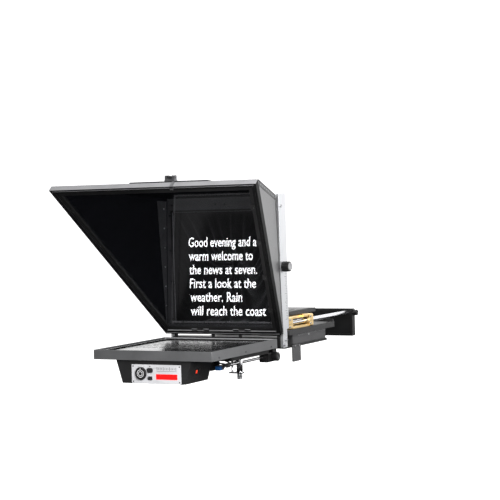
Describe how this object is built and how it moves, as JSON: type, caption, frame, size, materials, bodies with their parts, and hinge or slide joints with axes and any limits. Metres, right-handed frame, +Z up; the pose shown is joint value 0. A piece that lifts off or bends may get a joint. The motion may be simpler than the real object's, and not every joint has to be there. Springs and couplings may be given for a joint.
{
  "type": "teleprompter",
  "caption": "Camera-mounted teleprompter: flared hood with sloping beam-splitter glass over a flat monitor, on rods and a sliding balance plate.",
  "frame": {"origin": "centre of the tripod screw hole on the underside of the base plate", "axes": "+Z up, -Y towards the presenter, +Y back past the camera, +X to the presenter's right as seen facing the glass"},
  "size_m": [0.664, 1.1675, 0.5821],
  "materials": {
    "black_anodised": "satin black anodised",
    "grey_paint": "satin grey paint",
    "dark_grey_paint": "satin dark grey",
    "steel_screws": "plain steel",
    "dark_screws": "blackened",
    "gold_anodised": "gold anodised",
    "bronze_liner": "plain bronze",
    "black_plastic": "moulded matt",
    "dark_gloss_plastic": "semi gloss",
    "red_plastic": "translucent red",
    "white_plastic": "diffusing white",
    "bright_rod": "bright ground",
    "silver_anodised": "satin silver anodised",
    "black_rubber": "matt",
    "monitor_grey": "fine textured grey",
    "light_grey_paint": "satin light grey",
    "screen_glass": "anti-glare",
    "black_sheet": "matt black powder coat",
    "black_alloy_sheet": "matt black powder coat",
    "black_textured": "fine textured black",
    "green_board": "solder resist",
    "cable_jacket": "matt",
    "hood_panel": "grained black composite sheet",
    "rim_grey": "satin grey",
    "beam_glass": "beam-splitter coated",
    "black_cloth": "matt black cloth"
  },
  "bodies": {
    "base": {"base_plate": "black_anodised", "wedge_block": "grey_paint", "badge_cheek": "grey_paint", "base_screws": "steel_screws"},
    "balance_lock": {"balance_lever": "black_plastic"},
    "carriage": {"top_plate": "dark_grey_paint", "carriage_blocks": "gold_anodised", "carriage_bars": "gold_anodised", "rod_liners": "bronze_liner", "camera_plate": "dark_grey_paint", "carriage_screws": "steel_screws"},
    "camera_bolt": {"camera_screw": "steel_screws"},
    "carriage_lock": {"carriage_knob": "black_plastic"},
    "prompter": {"main_rods": "bright_rod", "rear_plate": "black_anodised", "rod_bridge": "black_anodised", "cross_bar": "black_anodised", "uprights": "silver_anodised", "upright_screws": "steel_screws", "hood_rests": "black_rubber", "clamp_nuts": "steel_screws", "arm_blocks": "black_anodised"},
    "rear_lock": {"rear_knob": "black_plastic"},
    "hood_lock_right": {"hood_knob_right": "black_plastic"},
    "hood_lock_left": {"hood_knob_left": "black_plastic"},
    "arm_lock_right": {"arm_knob_right": "black_plastic"},
    "arm_lock_left": {"arm_knob_left": "black_plastic"},
    "arms": {"arm_rods": "bright_rod", "arm_caps": "black_rubber"},
    "monitor": {"monitor_frame": "monitor_grey", "monitor_bezel": "black_plastic", "rear_bezel": "light_grey_paint", "lcd_panel": "screen_glass", "lcd_backlight": "white_plastic", "back_pan": "black_sheet", "driver_board": "green_board", "control_housing": "black_textured", "control_panel": "silver_anodised", "cue_window": "red_plastic", "cue_light_board": "green_board", "connector_block": "black_sheet", "video_cable": "cable_jacket", "arm_posts": "bright_rod", "post_yokes": "bright_rod"},
    "post_lock_right": {"thumb_screw_right": "steel_screws"},
    "post_lock_left": {"thumb_screw_left": "steel_screws"},
    "dial": {"control_dial": "dark_gloss_plastic"},
    "upper_key": {"key_high": "dark_gloss_plastic"},
    "lower_key": {"key_low": "dark_gloss_plastic"},
    "rocker": {"power_rocker": "dark_gloss_plastic"},
    "hood": {"hood_back_frame": "black_alloy_sheet", "hood_top_panel": "hood_panel", "hood_side_panels": "hood_panel", "rim_frame": "rim_grey", "lens_shroud": "black_cloth", "hood_screws": "dark_screws", "accessory_rail": "dark_grey_paint", "accessory_clip": "silver_anodised"},
    "glass": {"glass_frame": "black_anodised", "beam_glass": "beam_glass"}
  },
  "joints": [
    {"name": "balance_slide", "type": "slide", "parent": "base", "child": "carriage", "axis": [0, 1, 0], "range_m": [-0.05, 0.05]},
    {"name": "balance_lever_turn", "type": "hinge", "parent": "base", "child": "balance_lock", "pos_m": [-0.09, 0.02, 0.022], "axis": [1, 0, 0], "range_deg": [-30, 15]},
    {"name": "camera_screw_turn", "type": "hinge", "parent": "carriage", "child": "camera_bolt", "pos_m": [0, -0.042, 0.1], "axis": [0, 0, 1], "continuous": true},
    {"name": "carriage_knob_turn", "type": "hinge", "parent": "carriage", "child": "carriage_lock", "pos_m": [-0.1, -0.003, 0.074], "axis": [1, 0, 0], "continuous": true},
    {"name": "prompter_slide", "type": "slide", "parent": "carriage", "child": "prompter", "axis": [0, 1, 0], "range_m": [-0.1, 0.06]},
    {"name": "rear_knob_turn", "type": "hinge", "parent": "prompter", "child": "rear_lock", "pos_m": [0.1, 0.319, 0.074], "axis": [1, 0, 0], "continuous": true},
    {"name": "hood_knob_right_turn", "type": "hinge", "parent": "prompter", "child": "hood_lock_right", "pos_m": [0.2, -0.39, 0.264], "axis": [1, 0, 0], "continuous": true},
    {"name": "hood_knob_left_turn", "type": "hinge", "parent": "prompter", "child": "hood_lock_left", "pos_m": [-0.2, -0.39, 0.264], "axis": [1, 0, 0], "continuous": true},
    {"name": "arm_knob_right_turn", "type": "hinge", "parent": "prompter", "child": "arm_lock_right", "pos_m": [0.17, -0.425, 0.0023], "axis": [1, 0, 0], "continuous": true},
    {"name": "arm_knob_left_turn", "type": "hinge", "parent": "prompter", "child": "arm_lock_left", "pos_m": [-0.17, -0.425, 0.0023], "axis": [1, 0, 0], "continuous": true},
    {"name": "arm_slide", "type": "slide", "parent": "prompter", "child": "arms", "axis": [0, 1, 0], "range_m": [-0.03, 0.03]},
    {"name": "monitor_slide", "type": "slide", "parent": "arms", "child": "monitor", "axis": [0, 1, 0], "range_m": [-0.03, 0]},
    {"name": "post_screw_right_turn", "type": "hinge", "parent": "monitor", "child": "post_lock_right", "pos_m": [0.15, -0.606, -0.036], "axis": [0, 0, 1], "continuous": true},
    {"name": "post_screw_left_turn", "type": "hinge", "parent": "monitor", "child": "post_lock_left", "pos_m": [-0.15, -0.606, -0.036], "axis": [0, 0, 1], "continuous": true},
    {"name": "dial_turn", "type": "hinge", "parent": "monitor", "child": "dial", "pos_m": [-0.039, -0.833, -0.008], "axis": [0, 1, 0], "continuous": true},
    {"name": "upper_key_press", "type": "slide", "parent": "monitor", "child": "upper_key", "axis": [0, 1, 0], "range_m": [0, 0.0015]},
    {"name": "lower_key_press", "type": "slide", "parent": "monitor", "child": "lower_key", "axis": [0, 1, 0], "range_m": [0, 0.0015]},
    {"name": "rocker_tilt", "type": "hinge", "parent": "monitor", "child": "rocker", "pos_m": [0.10843, -0.781, -0.00344], "axis": [0.2806, 0, 0.9598], "range_deg": [-5, 5]},
    {"name": "hood_height", "type": "slide", "parent": "prompter", "child": "hood", "axis": [0, 0, 1], "range_m": [0, 0.06]},
    {"name": "glass_hinge", "type": "hinge", "parent": "hood", "child": "glass", "pos_m": [0, -0.4354, 0.07981], "axis": [1, 0, 0], "range_deg": [0, 25]}
  ]
}
